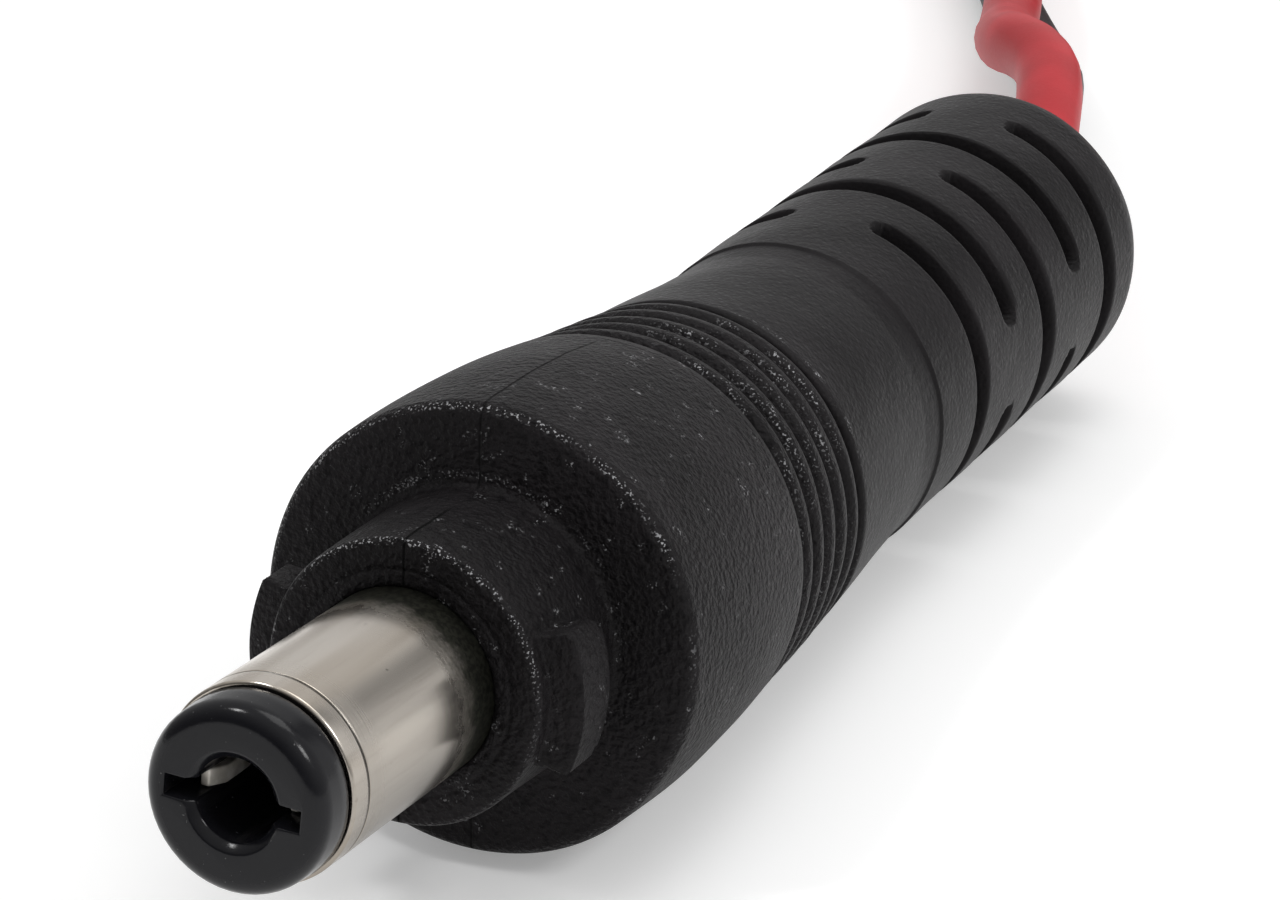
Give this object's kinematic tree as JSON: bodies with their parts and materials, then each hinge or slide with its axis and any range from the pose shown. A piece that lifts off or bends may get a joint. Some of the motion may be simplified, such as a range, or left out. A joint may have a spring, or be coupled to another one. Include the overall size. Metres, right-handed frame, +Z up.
{
  "type": "dc barrel plug",
  "caption": "Moulded black barrel plug with a metal sleeve, locking lugs, ribbed grip, slotted strain relief and a red and black twin lead.",
  "frame": {"origin": "on the surface that the plug rests on, under the middle of the plug's own box, without its lead", "axes": "+Z up, +Y from the tip towards the lead, level, and +X to the right seen from the tip's side"},
  "size_m": [0.0332, 0.1943, 0.0137],
  "materials": {
    "black_pvc": "fine pebbled matte",
    "sleeve_nickel": "satin nickel plating",
    "tip_black": "gloss",
    "contact_nickel": "bright nickel plating",
    "pale_plastic": "matte",
    "terminal_brass": "bare",
    "solder_tin": "satin solder",
    "copper": "bare copper strands",
    "red_insulation": "satin",
    "black_insulation": "satin",
    "tie_white": "plain"
  },
  "bodies": {
    "root": {"overmould": "black_pvc", "barrel_sleeve": "sleeve_nickel", "tip_insulator": "tip_black", "contact_fork": "contact_nickel", "rear_bush": "pale_plastic", "sleeve_terminal": "terminal_brass", "inner_mould": "pale_plastic", "solder_centre": "solder_tin", "solder_sleeve": "solder_tin", "red_strands": "copper", "black_strands": "copper", "red_core": "red_insulation", "black_core": "black_insulation", "cord_run": "red_insulation", "cord_hank": "red_insulation", "hank_tie": "tie_white", "red_tail": "red_insulation", "black_tail": "black_insulation", "red_tinned_end": "solder_tin", "black_tinned_end": "solder_tin"}
  },
  "joints": []
}
